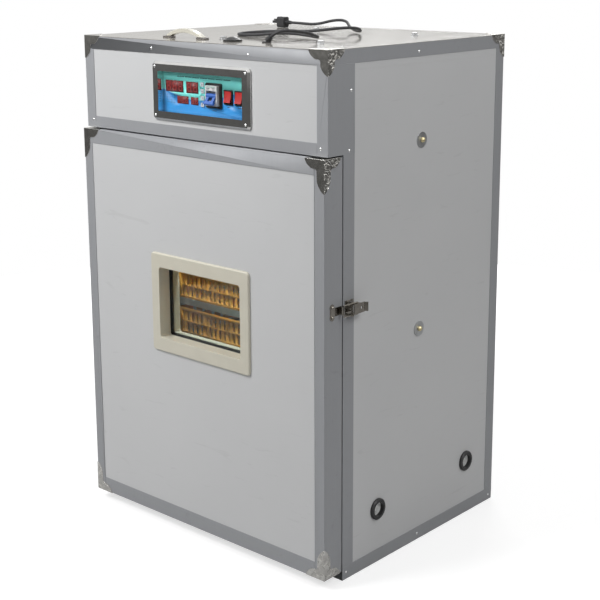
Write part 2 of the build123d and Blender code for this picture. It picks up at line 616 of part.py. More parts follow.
def hinge_leaf(door_side):
    """Leaves on the left side: the cabinet's carry the pin and outer knuckles, the door's the middle one."""
    pieces = []
    for z in HINGE_Z:
        edge = -HALF_W
        if door_side:
            leaf = span(edge - 2.5, edge, DOOR_BACK - 38, DOOR_BACK - 6, z - 38, z + 38)
            arm = span(HINGE_X - 1, edge, HINGE_Y - 10, HINGE_Y - 3, z - 12, z + 12)
            knuckle = rod_z(z - 12, z + 12, HINGE_X, HINGE_Y, 5.5)
            pieces.append(leaf + arm + knuckle - rod_z(z - 13, z + 13, HINGE_X, HINGE_Y, 3.1))
        else:
            piece = span(edge - 2.5, edge, FRONT + 5, FRONT + 38, z - 38, z + 38)
            for low, high in ((z - 38, z - 12.4), (z + 12.4, z + 38)):
                piece += span(HINGE_X - 1, edge, HINGE_Y + 2.8, HINGE_Y + 8, low, high)
                piece += rod_z(low, high, HINGE_X, HINGE_Y, 5.5)
            piece += rod_z(z - 38, z + 38, HINGE_X, HINGE_Y, 3)
            pieces.append(piece)
    return pieces


def latch_keeper():
    """Keeper on the door's edge: a plate with a screwed lobe above and below, curled into a hook."""
    screw_y = -332
    plate = rod_x(HALF_W, HALF_W + 1.6, screw_y, LATCH_Z - 11, 7)
    plate += rod_x(HALF_W, HALF_W + 1.6, screw_y, LATCH_Z + 11, 7)
    tongue = span(HALF_W, HALF_W + 1.6, screw_y - 6, -306, LATCH_Z - 9, LATCH_Z + 9)
    with BuildSketch(Plane((0, 0, LATCH_Z - 9))) as curl:
        with Locations((HALF_W + 4.6, -306)):
            Circle(4.6)
            Circle(3, mode=Mode.SUBTRACT)
            with Locations((0, -5)):
                Rectangle(12, 10, mode=Mode.SUBTRACT)
    hook = extrude(curl.sketch, 18) + span(HALF_W + 7.6, HALF_W + 9.2, -310, -306, LATCH_Z - 9, LATCH_Z + 9)
    keeper = plate + tongue + hook
    screws = []
    for z in (LATCH_Z - 11, LATCH_Z + 11):
        keeper -= rod_x(HALF_W - 1, HALF_W + 3, screw_y, z, 2)
        screws.append(Pos(HALF_W + 1.6, screw_y, z) * (Sphere(3.6) & Pos(5, 0, 0) * Box(10, 10, 10)))
    return [keeper] + screws


# ---- rack ----------------------------------------------------------------------------------
def rail_z(level):
    return FIRST_RAIL + PITCH * level


def carrier(level):
    """Tilting frame of one level: front and back rails, side angles, slats, pivot pins and link pin."""
    top = rail_z(level)
    pivot = top + PIVOT_RISE
    y0, y1 = RACK_Y - TRAY_D / 2, RACK_Y + TRAY_D / 2
    inside = 200
    frame = span(-inside, inside, y0, y0 + 12, top - RAIL_H, top)
    frame += span(-inside, inside, y1 - 12, y1, top - RAIL_H, top)
    for s in (-1, 1):
        frame += span(s * 190, s * SIDE_X, y0, y1, top - 3, top)
        frame += span(s * (SIDE_X - 1.6), s * SIDE_X, y0, y1, top - RAIL_H, top + 10)
        frame += span(s * SIDE_X, s * (SIDE_X + 2.5), RACK_Y - 16, RACK_Y + 16, top - 12, pivot + 14)
        frame += rod_x(s * SIDE_X, s * (POST_X + 8), RACK_Y, pivot, 5)
    for y in (-80, 80):
        frame += span(-195, 195, RACK_Y + y - 8, RACK_Y + y + 8, top - 2, top)
    pin_y = RACK_Y - LINK_REACH
    frame += span(-SIDE_X - 2, -SIDE_X, pin_y - 8, pin_y + 10, top - 12, pivot + 8)
    frame += rod_x(-SIDE_X, -SIDE_X - 12, pin_y, pivot, 3)
    if level == LEVELS - 1:
        frame += rod_x(SIDE_X, POST_X + 34, RACK_Y, pivot, 5)
    return frame


SLOT_W, SLOT_H = 6, 23
SLOT_ROWS = (7, 35)            # bottoms of the two rows above the tray's own bottom


def front_slots(y, low):
    """Row of upright slots through a wall that faces the front, every fifth one narrow."""
    count = 25
    step = (TRAY_W - 16) / count
    cutters = []
    for i in range(count):
        x = -TRAY_W / 2 + 8 + step * (i + 0.5)
        wide = SLOT_W if i % 5 else SLOT_W * 0.45
        cutters.append(span(x - wide / 2, x + wide / 2, y - 6, y + 6, low, low + SLOT_H))
    return cutters


def egg_tray(level):
    """Open plastic tray: slotted front and back walls, slotted sides, pierced bottom and ribs."""
    low = rail_z(level) + 0.2
    y0, y1 = RACK_Y - TRAY_D / 2 + 1, RACK_Y + TRAY_D / 2 - 1
    wall = 2.4
    half = TRAY_W / 2
    tray = span(-half, half, y0, y1, low, low + TRAY_H)
    tray -= span(-half + wall, half - wall, y0 + wall, y1 - wall, low + wall, low + TRAY_H + 1)
    cutters = []
    for row in SLOT_ROWS:
        cutters += front_slots(y0, low + row) + front_slots(y1, low + row)
        for i in range(12):
            y = y0 + 20 + i * (TRAY_D - 40) / 11.4
            cutters.append(span(-half - 5, half + 5, y - 6, y + 6, low + row, low + row + SLOT_H))
    for i in range(8):
        for j in range(8):
            cutters.append(Pos(-half + 26 + i * 51, y0 + 25 + j * 49.6, low) * Box(40, 38, 12))
    return tray - cutters


def link_bar():
    """Galvanised angle pinned to the front left of every level, so that all tilt together."""
    pin_y = RACK_Y - LINK_REACH
    low = rail_z(0) + PIVOT_RISE - 18
    high = rail_z(LEVELS - 1) + PIVOT_RISE + 18
    x_in, x_out = -SIDE_X - 4.5, -SIDE_X - 26
    bar = span(x_out, x_in, pin_y - 11, pin_y - 9, low, high)
    bar += span(x_in - 2, x_in, pin_y - 11, pin_y + 10, low, high)
    for level in range(LEVELS):
        bar -= rod_x(x_in + 1, x_in - 3, pin_y, rail_z(level) + PIVOT_RISE, 3.4)
    return bar


def rack_posts():
    """Square tubes that carry the pivots of every level."""
    pieces = []
    for s in (-1, 1):
        post = span(s * (POST_X - 10), s * (POST_X + 10), RACK_Y - 15, RACK_Y + 15, 240, CEILING_LOW)
        post -= span(s * (POST_X - 8), s * (POST_X + 8), RACK_Y - 13, RACK_Y + 13, 239, CEILING_LOW + 1)
        for level in range(LEVELS):
            post -= rod_x(s * 200, s * 260, RACK_Y, rail_z(level) + PIVOT_RISE, 5.3)
        for y, z in SIDE_BOLTS:
            post -= rod_x(s * 200, s * 260, y, z, 5.2)
        pieces.append(post)
    return pieces


def turning_motor():
    """Gearmotor on a bracket from the right wall; its hollow output hub takes the top level's pin."""
    z = rail_z(LEVELS - 1) + PIVOT_RISE
    x0 = POST_X + 14
    hub = rod_x(x0, x0 + 10, RACK_Y, z, 12)
    box = span(x0 + 10, x0 + 45, RACK_Y - 32, RACK_Y + 32, z - 32, z + 32)
    bore = rod_x(x0 - 1, x0 + 26, RACK_Y, z, 5.3)
    can = rod_x(x0 + 45, x0 + 78, RACK_Y, z, 25)
    flange = span(INNER_X - 3, INNER_X, RACK_Y - 45, RACK_Y + 45, z - 45, z + 45)
    gap = rod_x(x0 + 78, INNER_X - 3, RACK_Y, z, 20)
    return hub + box + can + gap + flange - bore


# ---- climate inside the chamber ------------------------------------------------------------
FAN_Y, FAN_Z = 95, 640
FAN_X = -INNER_X
PROBE_XY = (290, 120)


def fan_rotor():
    """Axial rotor: hub and five pitched blades, on the left wall."""
    rotor = rod_x(FAN_X + 52, FAN_X + 68, FAN_Y, FAN_Z, 17) - rod_x(FAN_X + 50, FAN_X + 60, FAN_Y, FAN_Z, 4.3)
    for i in range(5):
        blade = Pos(0, 0, 46) * Rot(0, 0, 32) * Box(2, 36, 62)
        rotor += Pos(FAN_X + 60, FAN_Y, FAN_Z) * Rot(72 * i, 0, 0) * blade
    return rotor


def ring_x(x, radius, wire):
    """Rounded ring round the fan's axis."""
    ring = rod_x(x - wire, x + wire, FAN_Y, FAN_Z, radius + wire)
    ring -= rod_x(x - wire - 1, x + wire + 1, FAN_Y, FAN_Z, radius - wire)
    return fillet(ring.edges().filter_by(GeomType.CIRCLE), wire * 0.7)


def wall_legs(radius, reach, turn):
    """Two opposite legs from the wall to a ring round the fan's axis."""
    legs = []
    for angle in (turn, turn + pi):
        legs.append(rod_x(FAN_X, FAN_X + reach, FAN_Y + radius * cos(angle), FAN_Z + radius * sin(angle), 3))
    return legs


def heater_fan_mount():
    """Fan motor on its shaft, with the ring heater round it and the wire guard in front."""
    heater_r, heater_out = 96, 30
    guard_r, guard_out = 88, 82
    motor = rod_x(FAN_X, FAN_X + 42, FAN_Y, FAN_Z, 28) + rod_x(FAN_X + 42, FAN_X + 59, FAN_Y, FAN_Z, 4)
    heater = ring_x(FAN_X + heater_out, heater_r, 5)
    for leg in wall_legs(heater_r, heater_out, radians(45)):
        heater += leg
    cage = ring_x(FAN_X + guard_out, guard_r, 2.4)
    for leg in wall_legs(guard_r, guard_out, radians(45) + 0.4):
        cage += leg
    for angle in (45, 135):
        cage += Pos(FAN_X + guard_out, FAN_Y, FAN_Z) * Rot(angle, 0, 0) * Cylinder(1.8, 2 * guard_r)
    return [motor, heater, cage + ring_x(FAN_X + guard_out, guard_r / 2, 1.4)]


def water_pan():
    """Open sheet-steel pan with a turned-out rim, on the chamber's floor."""
    high, thick = WALL + 50, 1.5
    pan = span(-160, 160, -120, 150, WALL, high) + span(-168, 168, -128, 158, high - thick, high)
    return pan - span(-160 + thick, 160 - thick, -120 + thick, 150 - thick, WALL + thick, high + 1)


def sensor_probe():
    """Temperature and humidity probe that hangs from the ceiling on its cable tube."""
    x, y = PROBE_XY
    probe = rod_z(700, CEILING_LOW + CEILING_THICK + 12, x, y, 5)
    probe += rod_z(655, 700, x, y, 8)
    return probe + rod_z(CEILING_LOW - 3, CEILING_LOW, x, y, 14)


# ---- write every node ----------------------------------------------------------------------
cabinet_panels()
save("edge_trims", *edge_trims())
save("top_corner_guards",
     *[corner_guard(x, y, HEIGHT, TOP_GUARD_DROP) for x in (-HALF_W, HALF_W) for y in (FASCIA_FRONT, BACK)])
save("fixing_screws", *fixing_screws())
save("console_bezel", console_bezel())
plate, modules = control_plate()
save("control_plate", plate, *modules)
save("switch_bodies", *[rocker_housing(x) for x in ROCKER_X], *breaker_body())
for number, z in enumerate(KEY_Z, 1):
    save(f"key_{number}", key(z))
save("rocker_left", rocker(ROCKER_X[0]))
save("rocker_right", rocker(ROCKER_X[1]))
save("breaker_lever", breaker_lever())
save("control_electronics", *display_board(), *equipment_plate())
save("carry_handle", *carry_handle())
save("top_bolts", *top_bolts())
save("vent_plug", vent_plug())
save("cord_gland", cord_gland())
save("power_cord", cord_tube())
save("cord_plug", cord_plug())
save("side_bolts", *side_bolts())
save("side_vents", *side_vents())
save("latch_base", latch_base())
save("latch_lever", latch_lever())
save("latch_bail", latch_bail())
save("door_panel", door_panel())
save("door_edge_trims", *door_edge_trims())
save("door_corner_guards",
     *[corner_guard(x, DOOR_FRONT, z, DOOR_GUARD_DROP) for x in (-HALF_W, HALF_W)
       for z in (DOOR_LOW, DOOR_TOP)])
save("window_frame", *window_frame())
save("window_glass", *window_glass())
save("door_seals", *door_seals())
save("door_hinge_leaves", *hinge_leaf(True))
save("cabinet_hinge_leaves", *hinge_leaf(False))
save("latch_keeper", *latch_keeper())
for level in range(LEVELS):
    save(f"tray_carrier_{level + 1}", carrier(level))
    save(f"egg_tray_{level + 1}", egg_tray(level))
save("link_bar", link_bar())
save("rack_posts", *rack_posts())
save("turning_motor", turning_motor())
save("fan_rotor", fan_rotor())
save("heater_fan_mount", *heater_fan_mount())
save("water_pan", water_pan())
save("sensor_probe", sensor_probe())
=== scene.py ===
import json
from math import cos, pi, radians, sin

import bmesh
import bpy
from mathutils import Matrix, Vector


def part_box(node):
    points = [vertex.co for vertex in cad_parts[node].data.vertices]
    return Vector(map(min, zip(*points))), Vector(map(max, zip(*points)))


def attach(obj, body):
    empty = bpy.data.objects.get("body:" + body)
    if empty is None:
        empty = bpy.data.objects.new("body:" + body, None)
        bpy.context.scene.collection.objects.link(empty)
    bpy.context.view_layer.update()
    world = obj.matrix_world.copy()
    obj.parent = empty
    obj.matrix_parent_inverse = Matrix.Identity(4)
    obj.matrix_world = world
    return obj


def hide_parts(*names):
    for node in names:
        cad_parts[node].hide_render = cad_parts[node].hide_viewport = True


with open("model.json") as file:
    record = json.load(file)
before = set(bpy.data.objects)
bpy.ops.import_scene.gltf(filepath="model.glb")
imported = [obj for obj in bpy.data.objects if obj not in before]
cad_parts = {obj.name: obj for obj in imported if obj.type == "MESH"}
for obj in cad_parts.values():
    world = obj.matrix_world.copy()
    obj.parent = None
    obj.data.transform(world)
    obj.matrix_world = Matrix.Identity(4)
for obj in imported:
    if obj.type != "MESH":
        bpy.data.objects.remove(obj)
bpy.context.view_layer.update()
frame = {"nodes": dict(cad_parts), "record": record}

NODES = frame["nodes"]
BODIES = frame["record"]["behaviour"]["bodies"]
NODE_BODY = {node: body for body, nodes in BODIES.items() for node in nodes}
scene = bpy.context.scene


# ---- places on the incubator, in metres ----------------------------------------------------
def middle_of(node):
    low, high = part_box(node)
    return (low + high) / 2


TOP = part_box("top_panel")[1].z
HANDLE = middle_of("carry_handle")
HANDLE_FOOT_FROM = 0.041       # the feet begin this far from the handle's middle
HANDLE_FOOT_HEIGHT = 0.0041
SHEET_THICK = 0.0015           # coated sheet on the top panel, above its panel edge
BOLT_NUTS_FROM = 0.3821        # the nuts on the side bolts stand beyond this x
VENT_MESH = (0.3738, 0.3756)   # x range of the mesh inside the vents, which are on the right only
LOW_GUARDS = 0.3               # the door's lower guards are below this z

PLATE_LOW, PLATE_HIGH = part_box("control_plate")
CONSOLE = (PLATE_LOW + PLATE_HIGH) / 2
LED_FRONT = PLATE_LOW.y
PLATE_FRONT = LED_FRONT + 0.0006
# display windows: x and z from the console's middle, width, height, digits
LED_WINDOWS = ((-0.0955, 0.012, 0.058, 0.026, 3), (-0.038, 0.012, 0.039, 0.026, 2),
               (-0.069, -0.0175, 0.037, 0.0175, 3), (-0.0312, -0.0175, 0.024, 0.0175, 2))
BREAKER = Vector((CONSOLE.x + 0.031, 0, CONSOLE.z - 0.001))
BREAKER_HALF = (0.0181, 0.0221)    # half of the breaker's width and height
BREAKER_NOSE = 0.0111          # its marks lie this far out, just ahead of the white nose
BREAKER_SURROUND = (0.0034, 0.0004)    # its black surround lies between these distances from the plate
ROCKERS_X = (0.075, 0.108)     # from the console's middle
MARK_THICK = 0.00008           # printed marks
SEGMENT_THICK = 0.0001         # lit segments of the displays


# ---- node materials ------------------------------------------------------------------------
class Nodes:
    """A node tree with short ways to add to it."""

    def __init__(self, tree, coordinates="Object"):
        self.tree = tree
        self.coords = self.node("ShaderNodeTexCoord").outputs[coordinates]

    def node(self, kind, **settings):
        made = self.tree.nodes.new(kind)
        for key, value in settings.items():
            setattr(made, key, value)
        return made

    def link(self, out, into):
        self.tree.links.new(out, into)

    def feed(self, value, socket):
        """Links an output to a socket, or sets the socket to a constant."""
        if hasattr(value, "is_linked"):
            self.link(value, socket)
        else:
            socket.default_value = value

    def scaled(self, scale):
        """Coordinates multiplied by a number or by three numbers."""
        mapping = self.node("ShaderNodeMapping")
        self.link(self.coords, mapping.inputs["Vector"])
        mapping.inputs["Scale"].default_value = scale if hasattr(scale, "__len__") else (scale,) * 3
        return mapping.outputs["Vector"]

    def noise(self, scale, detail=3.0, distortion=0.0):
        made = self.node("ShaderNodeTexNoise")
        self.link(self.scaled(scale), made.inputs["Vector"])
        made.inputs["Scale"].default_value = 1.0
        made.inputs["Detail"].default_value = detail
        made.inputs["Distortion"].default_value = distortion
        return made.outputs["Fac"]

    def cells(self, scale):
        made = self.node("ShaderNodeTexVoronoi")
        self.link(self.scaled(scale), made.inputs["Vector"])
        made.inputs["Scale"].default_value = 1.0
        return made.outputs["Distance"]

    def axis(self, which):
        split = self.node("ShaderNodeSeparateXYZ")
        self.link(self.coords, split.inputs[0])
        return split.outputs[which]

    def math(self, operation, a, b=0.0, c=0.0):
        made = self.node("ShaderNodeMath", operation=operation)
        for value, socket in zip((a, b, c), made.inputs):
            self.feed(value, socket)
        return made.outputs[0]

    def remap(self, value, low, high, to_low=0.0, to_high=1.0):
        made = self.node("ShaderNodeMapRange")
        self.link(value, made.inputs["Value"])
        made.inputs["From Min"].default_value = low
        made.inputs["From Max"].default_value = high
        made.inputs["To Min"].default_value = to_low
        made.inputs["To Max"].default_value = to_high
        return made.outputs[0]


class Surface(Nodes):
    """A Principled material built up from procedural layers, in the object's own coordinates (metres)."""

    def __init__(self, name, color, rough, metal=0.0, coat=0.0, coat_rough=0.1):
        self.mat = bpy.data.materials.new(name)
        self.mat.use_nodes = True
        super().__init__(self.mat.node_tree)
        self.bsdf = self.tree.nodes["Principled BSDF"]
        self.set("Base Color", (*color, 1))
        self.set("Roughness", rough)
        self.set("Metallic", metal)
        if coat:
            self.set("Coat Weight", coat)
            self.set("Coat Roughness", coat_rough)
        self.color = None
        self.rough = None
        self.height = None

    def set(self, socket, value):
        self.bsdf.inputs[socket].default_value = value

    def tint(self, mask, color):
        """Blends the colour so far towards another one where the mask is high."""
        mix = self.node("ShaderNodeMix", data_type="RGBA")
        self.feed(mask, mix.inputs["Factor"])
        self.feed(self.color or self.bsdf.inputs["Base Color"].default_value[:], mix.inputs["A"])
        mix.inputs["B"].default_value = (*color, 1)
        self.color = mix.outputs["Result"]
        return self

    def vary_rough(self, value, low, high):
        self.rough = self.remap(value, 0.3, 0.7, low, high)
        return self

    def raise_by(self, value, metres):
        """Adds a height in metres to the bump."""
        layer = self.math("MULTIPLY", value, metres)
        self.height = layer if self.height is None else self.math("ADD", self.height, layer)
        return self

    def done(self):
        if self.color is not None:
            self.link(self.color, self.bsdf.inputs["Base Color"])
        if self.rough is not None:
            self.link(self.rough, self.bsdf.inputs["Roughness"])
        if self.height is not None:
            bump = self.node("ShaderNodeBump")
            bump.inputs["Strength"].default_value = 1.0
            bump.inputs["Distance"].default_value = 1.0
            self.link(self.height, bump.inputs["Height"])
            self.link(bump.outputs[0], self.bsdf.inputs["Normal"])
        return self.mat


def darker(color, share):
    return tuple(channel * share for channel in color)


def coated_panel():
    """White prepainted steel skin: fine stipple, slow waves and faint handling marks."""
    s = Surface("coated_panel", (0.64, 0.645, 0.65), 0.42)
    s.tint(s.remap(s.noise(2.2, 4), 0.35, 0.75, 0, 0.35), (0.56, 0.565, 0.575))
    scuff = s.math("MULTIPLY", s.remap(s.noise((9, 9, 60), 6, 1.5), 0.64, 0.72), 0.16)
    s.tint(scuff, (0.42, 0.42, 0.42))
    s.vary_rough(s.noise(7, 5), 0.36, 0.5)
    s.raise_by(s.noise(900, 2), 0.00001).raise_by(s.noise(5, 2), 0.0006)
    return s.done()


def top_sheet():
    """Glossy coated sheet, slightly uneven."""
    s = Surface("top_sheet", (0.42, 0.40, 0.365), 0.14, coat=0.6, coat_rough=0.06)
    s.tint(s.remap(s.noise(3, 4), 0.4, 0.7, 0, 0.3), (0.38, 0.365, 0.335))
    s.vary_rough(s.noise(14, 6, 1), 0.1, 0.22)
    s.raise_by(s.noise(4, 2), 0.0006)
    return s.done()


def trim_aluminium():
    """Satin grey extrusion with fine lines, which run upright on every trim."""
    lines = (900, 900, 6)
    s = Surface("trim_aluminium", (0.34, 0.348, 0.365), 0.6, metal=0.15)
    s.tint(s.remap(s.noise(lines, 3), 0.35, 0.7, 0, 0.3), (0.39, 0.395, 0.41))
    s.tint(s.math("MULTIPLY", s.remap(s.noise(26, 6, 2), 0.64, 0.74), 0.18), (0.2, 0.2, 0.205))
    s.vary_rough(s.noise(18, 5), 0.54, 0.66)
    s.raise_by(s.noise(lines, 2), 0.00002)
    return s.done()


def polished_nickel(name="polished_nickel", color=(0.62, 0.61, 0.58), rough=0.16):
    s = Surface(name, color, rough, metal=1.0)
    s.tint(s.remap(s.noise(60, 5), 0.45, 0.75, 0, 0.25), darker(color, 0.72))
    s.vary_rough(s.noise(90, 5), rough * 0.8, rough * 1.5)
    s.raise_by(s.noise(40, 2), 0.00008)
    return s.done()


def embossed_nickel():
    """Bright plating over a raised pattern, with tarnish in the hollows."""
    s = Surface("embossed_nickel", (0.66, 0.65, 0.62), 0.14, metal=1.0)
    relief = s.remap(s.noise(85, 1, 0.6), 0.44, 0.58)
    s.tint(s.math("MULTIPLY", s.math("SUBTRACT", 1.0, relief), 0.5), (0.4, 0.39, 0.37))
    s.vary_rough(s.noise(90, 5), 0.1, 0.3)
    s.raise_by(relief, 0.0009)
    return s.done()


def plain_metal(name, color, rough):
    s = Surface(name, color, rough, metal=1.0)
    s.tint(s.remap(s.noise(40, 5), 0.4, 0.75, 0, 0.5), darker(color, 0.75))
    s.vary_rough(s.noise(55, 5), rough * 0.8, min(1, rough * 1.4))
    s.raise_by(s.noise(300, 3), 0.00003)
    return s.done()


def galvanised():
    """Zinc coat with its crystal spangle."""
    s = Surface("galvanised", (0.46, 0.48, 0.48), 0.42, metal=0.85)
    s.tint(s.remap(s.cells(110), 0.1, 0.8, 0, 0.6), (0.58, 0.6, 0.6))
    s.tint(s.remap(s.noise(30, 5), 0.45, 0.7, 0, 0.5), (0.33, 0.35, 0.355))
    s.vary_rough(s.cells(110), 0.3, 0.5)
    s.raise_by(s.noise(400, 3), 0.00002)
    return s.done()


def moulded(name, color, rough, coat=0.0, shade=0.82):
    """Moulded plastic with a fine grain and slow waves in its skin; shade is the darkest tint."""
    s = Surface(name, color, rough, coat=coat)
    s.tint(s.remap(s.noise(25, 4), 0.4, 0.75, 0, 0.6), darker(color, shade))
    s.vary_rough(s.noise(80, 5), rough * 0.8, min(1, rough * 1.25))
    s.raise_by(s.noise(1500, 2), 0.00001).raise_by(s.noise(35, 2), 0.00008)
    return s.done()


def tray_plastic():
    s = Surface("tray_plastic", (0.72, 0.33, 0.045), 0.45)
    s.set("Subsurface Weight", 0.12)
    s.set("Subsurface Radius", (0.01, 0.004, 0.001))
    s.tint(s.remap(s.noise(18, 5), 0.4, 0.7, 0, 0.5), (0.62, 0.26, 0.03))
    s.vary_rough(s.noise(60, 4), 0.38, 0.55)
    s.raise_by(s.noise(700, 2), 0.00002)
    return s.done()


def black_rubber(name, color):
    s = Surface(name, color, 0.62)
    s.tint(s.remap(s.noise(120, 5), 0.5, 0.8, 0, 0.6), (0.05, 0.05, 0.05))
    s.vary_rough(s.noise(200, 4), 0.5, 0.75)
    s.raise_by(s.noise(1200, 2), 0.00004)
    return s.done()


def window_pane():
    """Thin glass: clear face on, mirroring at a glancing view, with a little haze."""
    mat = bpy.data.materials.new("window_pane")
    mat.use_nodes = True
    mat.node_tree.nodes.clear()
    s = Nodes(mat.node_tree)
    clear = s.node("ShaderNodeBsdfTransparent")
    clear.inputs["Color"].default_value = (0.93, 0.96, 0.95, 1)
    gloss = s.node("ShaderNodeBsdfGlossy")
    gloss.inputs["Roughness"].default_value = 0.03
    facing = s.node("ShaderNodeLayerWeight").outputs["Facing"]
    glare = s.math("MULTIPLY_ADD", s.math("POWER", facing, 5.0), 0.9, 0.03)
    smear = s.remap(s.noise(20, 5, 1), 0.45, 0.8, 0.7, 1.2)
    mix = s.node("ShaderNodeMixShader")
    s.link(s.math("MULTIPLY", glare, smear), mix.inputs[0])
    s.link(clear.outputs[0], mix.inputs[1])
    s.link(gloss.outputs[0], mix.inputs[2])
    out = s.node("ShaderNodeOutputMaterial")
    s.link(mix.outputs[0], out.inputs["Surface"])
    return mat


def overlay_film():
    """Printed film of the console: teal above a wavy line, blue below."""
    s = Surface("overlay_film", (0.035, 0.30, 0.72), 0.42)
    run = s.remap(s.axis("X"), PLATE_LOW.x, PLATE_HIGH.x)
    wave = s.math("SINE", s.math("MULTIPLY_ADD", run, 4.2, 2.97))
    border = s.math("MULTIPLY_ADD", wave, 0.19, 0.54)
    level = s.remap(s.axis("Z"), PLATE_LOW.z, PLATE_HIGH.z)
    above = s.math("SUBTRACT", level, border)
    s.tint(s.remap(above, -0.006, 0.006), (0.24, 0.86, 0.80))
    line = s.math("SUBTRACT", 1.0, s.math("MULTIPLY", s.math("ABSOLUTE", above), 45.0))
    s.tint(s.math("MAXIMUM", line, 0.0), (0.3, 0.7, 0.8))
    s.tint(s.remap(s.noise(40, 4), 0.5, 0.8, 0, 0.15), (0.05, 0.4, 0.6))
    s.vary_rough(s.noise(60, 4), 0.36, 0.5)
    s.raise_by(s.noise(300, 2), 0.000004)
    return s.done()


def glow(name, color, strength):
    s = Surface(name, darker(color, 0.5), 0.35)
    s.set("Emission Color", (*color, 1))
    s.set("Emission Strength", strength)
    s.tint(s.remap(s.noise(400, 2), 0.4, 0.7, 0, 0.4), darker(color, 0.3))
    return s.done()


# ---- mesh helpers --------------------------------------------------------------------------
SHARP_EDGE = radians(35)       # edges above this angle stay sharp in pieces made here
ROUNDED_EDGE = radians(30)     # edges above this angle are rounded in the CAD copies


def add_object(name, data, material, body):
    obj = bpy.data.objects.new(name, data)
    scene.collection.objects.link(obj)
    data.materials.append(material)
    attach(obj, body)
    return obj


def mesh_from(bm, name):
    mesh = bpy.data.meshes.new(name)
    bm.to_mesh(mesh)
    bm.free()
    return mesh


def finish_mesh(name, bm, material, body):
    """Turns a bmesh into a smooth-shaded piece with its sharp edges kept."""
    for edge in bm.edges:
        if len(edge.link_faces) == 2 and edge.calc_face_angle(0) > SHARP_EDGE:
            edge.smooth = False
    for face in bm.faces:
        face.smooth = True
    add_object(name, mesh_from(bm, name), material, body)


def refined(node, material, rounding=0.0005, segments=2, also=()):
    """A copy of a CAD node with rounded edges, which stands for it.

    Each (material, test) in also gives a second material to the faces that pass its test.
    """
    bm = bmesh.new()
    bm.from_mesh(NODES[node].data)
    bmesh.ops.remove_doubles(bm, verts=bm.verts, dist=0.000004)
    bmesh.ops.dissolve_limit(bm, angle_limit=radians(0.6), verts=bm.verts, edges=bm.edges)
    for face in bm.faces:
        face.smooth = True
        face.material_index = 0
        center = face.calc_center_median()
        for number, (_, test) in enumerate(also, 1):
            if test(center, face.normal):
                face.material_index = number
    name = node + "_finished"
    mesh = mesh_from(bm, name)
    if "custom_normal" in mesh.attributes:
        mesh.attributes.remove(mesh.attributes["custom_normal"])
    obj = add_object(name, mesh, material, NODE_BODY[node])
    for extra, _ in also:
        mesh.materials.append(extra)
    if rounding:
        bevel = obj.modifiers.new("edges", "BEVEL")
        bevel.width = rounding
        bevel.segments = segments
        bevel.limit_method = "ANGLE"
        bevel.angle_limit = ROUNDED_EDGE
        bevel.harden_normals = True
        bevel.use_clamp_overlap = True
    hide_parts(node)


def paint(node, material):
    """Gives a CAD node itself a material."""
    mesh = NODES[node].data
    if not mesh.materials:
        mesh.materials.append(material)
    for index in range(len(mesh.materials)):
        mesh.materials[index] = material


def front_prism(bm, outline, front, back):
    """Flat plate in the XZ plane between two y values, from its (x, z) outline."""
    near = [bm.verts.new((x, front, z)) for x, z in outline]
    far = [bm.verts.new((x, back, z)) for x, z in outline]
    bm.faces.new(near)
    bm.faces.new(far[::-1])
    count = len(outline)
    for i in range(count):
        following = (i + 1) % count
        bm.faces.new((near[i], far[i], far[following], near[following]))


def soft_mark(bm, x, z, w, h, front):
    """Small printed mark with cut corners."""
    c = 0.25 * min(w, h)
    a, b = w / 2, h / 2
    outline = [(x - a + c, z - b), (x + a - c, z - b), (x + a, z - b + c), (x + a, z + b - c),
               (x + a - c, z + b), (x - a + c, z + b), (x - a, z + b - c), (x - a, z - b + c)]
    front_prism(bm, outline, front, front + MARK_THICK)


def bar_segment(bm, x, z, length, thick, upright, front):
    """One bar of a digit, pointed at both ends."""
    a, b = length / 2, thick / 2
    outline = [(-a, 0), (-a + b, -b), (a - b, -b), (a, 0), (a - b, b), (-a + b, b)]
    if upright:
        outline = [(-v, u) for u, v in outline]
    front_prism(bm, [(x + u, z + v) for u, v in outline], front, front + SEGMENT_THICK)


def seven_segments(bm, x, z, w, h, front):
    """One digit with all its segments, centred on x, z."""
    thick = 0.13 * w + 0.0004
    for dz in (-h / 2, 0, h / 2):
        bar_segment(bm, x, z + dz, w * 0.92, thick, False, front)
    for dx in (-w / 2, w / 2):
        for dz in (-h / 4, h / 4):
            bar_segment(bm, x + dx, z + dz, h * 0.46, thick, True, front)


# ---- camera, light and floor ---------------------------------------------------------------
CAMERA_PLACE = (2.0498, -2.3015, 1.3638)
CAMERA_AZIMUTH = radians(41.749)
CAMERA_DROP = radians(12.284)
CAMERA_ROLL = radians(-0.255)
CAMERA_LENS = 76.938
CAMERA_SHIFT = -7 / 60
WORLD_LIGHT = 0.2              # strength on diffuse surfaces
WORLD_GLOSS = 0.95             # strength in reflections
# surroundings: share of the way from straight down to straight up, grey
SKY_STOPS = ((0.0, 0.10), (0.45, 0.11), (0.5, 0.3), (0.55, 0.8), (0.62, 0.95), (1.0, 1.0))
# lamps: name, place, what they point at, size, watts
LAMPS = (("key", (-1.0, -2.2, 2.7), (0, 0, 1.1), (1.2, 1.2), 66),
         ("overhead", (0.2, 0.4, 3.4), (0, 0, 1.0), (2.5, 2.5), 20),
         ("right_fill", (2.5, -0.3, 2.7), (0.3, 0, 1.1), (1.2, 1.2), 30),
         ("back_fill", (-1.6, 2.7, 2.6), (0, 0, 0.7), (1.6, 1.6), 40),
         ("console", (-0.15, -1.3, 1.75), (0, -0.34, 1.056), (0.3, 0.2), 1.6),
         ("chamber", (0, -0.262, 0.9), (0, -0.262, 0.4), (0.36, 0.05), 1.6))
FLOOR_RADIUS = 2.6
FLOOR_GLOW = (0.66, 1.0)       # near the incubator and at the rim
FLOOR_GLOW_FROM = 0.9          # radius where the glow begins to rise


